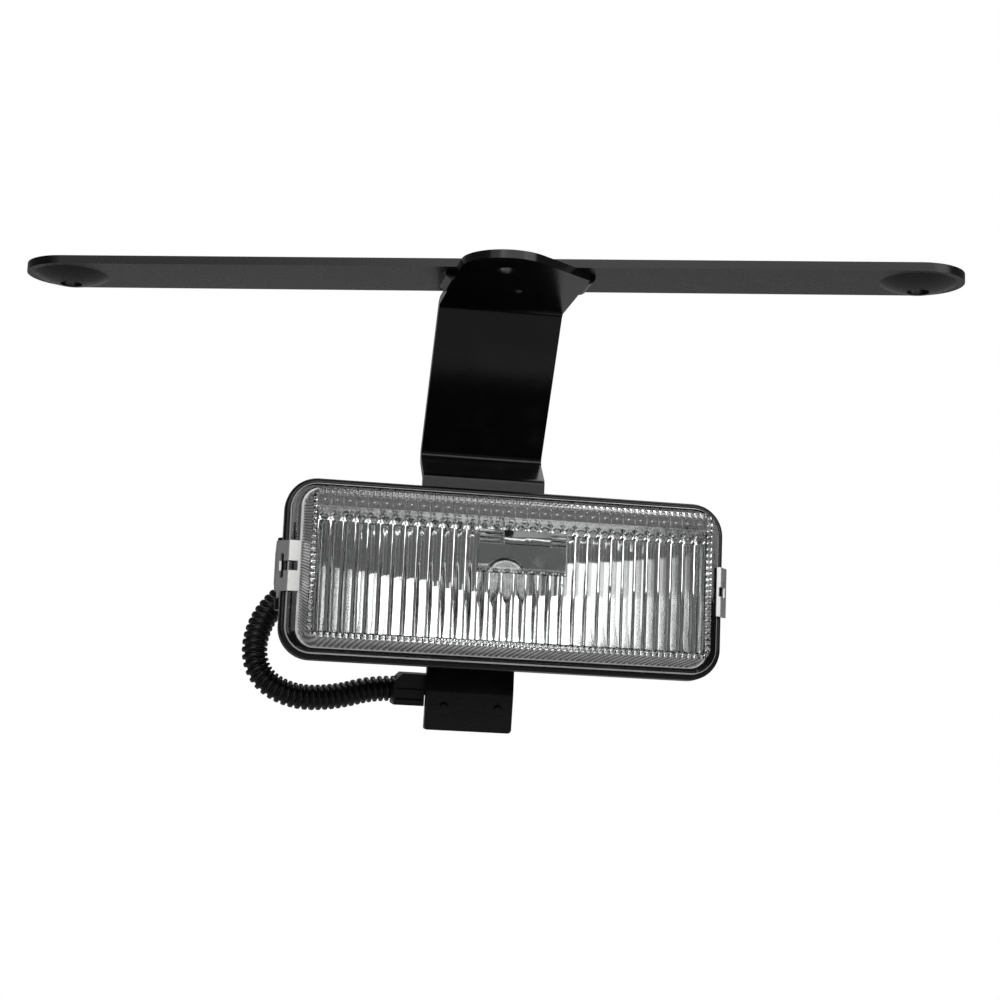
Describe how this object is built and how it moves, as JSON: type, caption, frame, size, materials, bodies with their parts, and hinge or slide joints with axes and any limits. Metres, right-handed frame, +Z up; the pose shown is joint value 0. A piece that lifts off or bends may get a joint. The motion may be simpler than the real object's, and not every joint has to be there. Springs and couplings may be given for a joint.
{
  "type": "fog light",
  "caption": "Rectangular fog light with fluted glass lens, tilting on a bent hanger arm welded to a flat cross strap, with a looped conduit running to a side-facing connector",
  "frame": {"origin": "on the cross strap's top face, where the hanger arm's centre line crosses the strap's centre line", "axes": "X across the lamp, with the connector side at the low-X half pointing to +X; the beam leaves along -Y; +Z up, out of the strap's top face"},
  "size_m": [0.3435, 0.1353, 0.1702],
  "materials": {
    "black_paint": "gloss black over welded steel, thin runs at the weld, light scuffs",
    "zinc_steel": "bright zinc plate, satin on the flats, brighter on the bends",
    "black_housing": "moulded black, low gloss",
    "black_rubber": "matt, smooth",
    "pressed_glass": "clear pressed glass, fluted on its face and ribbed round its edge",
    "bulb_glass": "clear quartz",
    "aluminised": "vacuum-aluminised bowl",
    "bright_shield": "bright plated cap",
    "tungsten": "drawn wire",
    "nickel": "nickel-plated steel",
    "tinned_brass": "tin-plated blade",
    "black_nylon": "moulded nylon, fine grain",
    "conduit_black": "corrugated split tubing, slight sheen"
  },
  "bodies": {
    "hanger": {"cross_strap": "black_paint", "hanger_arm": "black_paint", "weld_beads": "black_paint", "pivot_sleeve": "black_paint", "pivot_bolt": "zinc_steel", "pivot_washers": "zinc_steel", "pivot_nut": "zinc_steel", "connector_backshell": "black_nylon", "connector_body": "black_nylon", "connector_seal": "black_rubber", "connector_terminals": "tinned_brass", "connector_carrier": "black_nylon", "carrier_screws": "black_paint", "conduit": "conduit_black"},
    "lamp": {"housing": "black_housing", "lens_gasket": "black_rubber", "lens": "pressed_glass", "reflector": "aluminised", "bulb_shield": "bright_shield", "bulb_glass": "bulb_glass", "bulb_filament": "tungsten", "bulb_base": "nickel", "lamp_leads": "black_nylon", "cable_grommet": "black_rubber", "clip_pins": "zinc_steel"},
    "clip_left": {"lens_clip_left": "zinc_steel"},
    "clip_right": {"lens_clip_right": "zinc_steel"},
    "bail": {"bulb_bail": "zinc_steel"}
  },
  "joints": [
    {"name": "lamp_tilt", "type": "hinge", "parent": "hanger", "child": "lamp", "pos_m": [-0.0022, 0.052, -0.139], "axis": [1, 0, 0], "range_deg": [-10, 10], "deforming": ["conduit"]},
    {"name": "clip_left_swing", "type": "hinge", "parent": "lamp", "child": "clip_left", "pos_m": [-0.0792, 0.03, -0.1166], "axis": [0, 0, -1], "range_deg": [0, 95]},
    {"name": "clip_right_swing", "type": "hinge", "parent": "lamp", "child": "clip_right", "pos_m": [0.0818, 0.03, -0.1166], "axis": [0, 0, 1], "range_deg": [0, 95]},
    {"name": "bail_swing", "type": "hinge", "parent": "lamp", "child": "bail", "pos_m": [0.0013, 0.03935, -0.1046], "axis": [1, 0, 0], "range_deg": [0, 14]}
  ]
}
